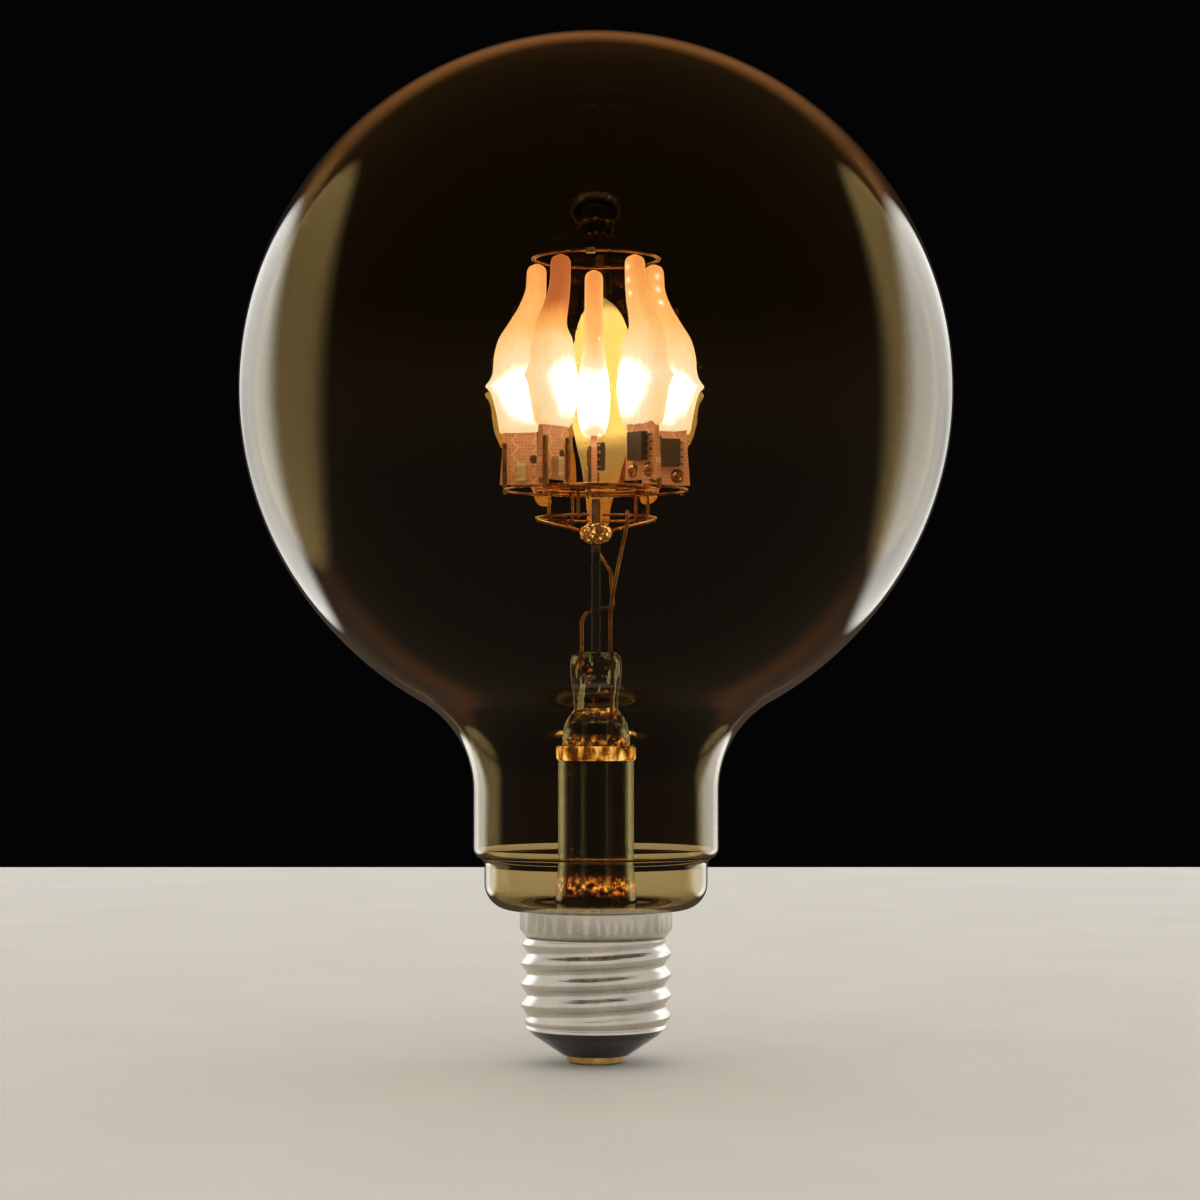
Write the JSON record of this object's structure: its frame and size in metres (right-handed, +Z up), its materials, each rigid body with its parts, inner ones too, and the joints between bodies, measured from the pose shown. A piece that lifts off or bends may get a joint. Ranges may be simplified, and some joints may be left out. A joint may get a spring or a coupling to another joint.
{
  "type": "globe light bulb",
  "caption": "Globe light bulb with a clear glass envelope, flame-shaped light boards on a wire frame over a glass stem, and an E27 screw cap.",
  "frame": {"origin": "centre of the centre contact's flat face, under the cap", "axes": "+Z up along the lamp's axis from the cap to the crown; -Y towards the viewer of the picture, +X to their right"},
  "size_m": [0.125, 0.125, 0.18],
  "materials": {
    "clear_glass": "blown, clear, light gold tint",
    "stem_glass": "drawn and pressed, clear",
    "collar_gold": "polished",
    "bead_glass": "fused bead",
    "brass_wire": "drawn wire",
    "crimp_metal": "pressed sheet",
    "flame_skin": "moulded translucent silicone",
    "flame_board": "solder mask over copper",
    "light_chip": "phosphor in a moulded case",
    "chip_body": "moulded",
    "tinned_metal": "tinned",
    "board_pin": "plated",
    "block_ceramic": "sintered block",
    "cap_nickel": "nickel plated, rolled",
    "cap_black": "moulded",
    "contact_brass": "stamped",
    "cap_cement": "set cement",
    "driver_board": "glass-filled laminate",
    "capacitor_sleeve": "shrunk sleeve",
    "resistor_body": "lacquered"
  },
  "bodies": {
    "root": {"globe_envelope": "clear_glass", "stem_tube": "stem_glass", "exhaust_tube": "stem_glass", "centre_rod": "stem_glass", "stem_collar": "collar_gold", "rod_bead": "bead_glass", "bead_wires": "brass_wire", "lead_wire_left": "brass_wire", "lead_wire_right": "brass_wire", "half_hoop_left": "brass_wire", "half_hoop_right": "brass_wire", "hoop_posts": "brass_wire", "inner_hoop": "brass_wire", "outer_hoop": "brass_wire", "top_hoop": "brass_wire", "tip_wires": "brass_wire", "top_hoop_crimp": "crimp_metal", "flame_skin_1": "flame_skin", "flame_skin_2": "flame_skin", "flame_skin_3": "flame_skin", "flame_skin_4": "flame_skin", "flame_skin_5": "flame_skin", "flame_board_1": "flame_board", "flame_board_2": "flame_board", "flame_board_3": "flame_board", "flame_board_4": "flame_board", "flame_board_5": "flame_board", "light_chips": "light_chip", "driver_chips": "chip_body", "rectifier": "chip_body", "chip_legs": "tinned_metal", "board_solder": "tinned_metal", "contact_solder": "tinned_metal", "shell_wire": "tinned_metal", "board_pins": "board_pin", "chip_capacitors": "block_ceramic", "cap_shell": "cap_nickel", "cap_insulator": "cap_black", "centre_contact": "contact_brass", "cap_cement": "cap_cement", "driver_board": "driver_board", "capacitor": "capacitor_sleeve", "fuse_resistor": "resistor_body"}
  },
  "joints": []
}
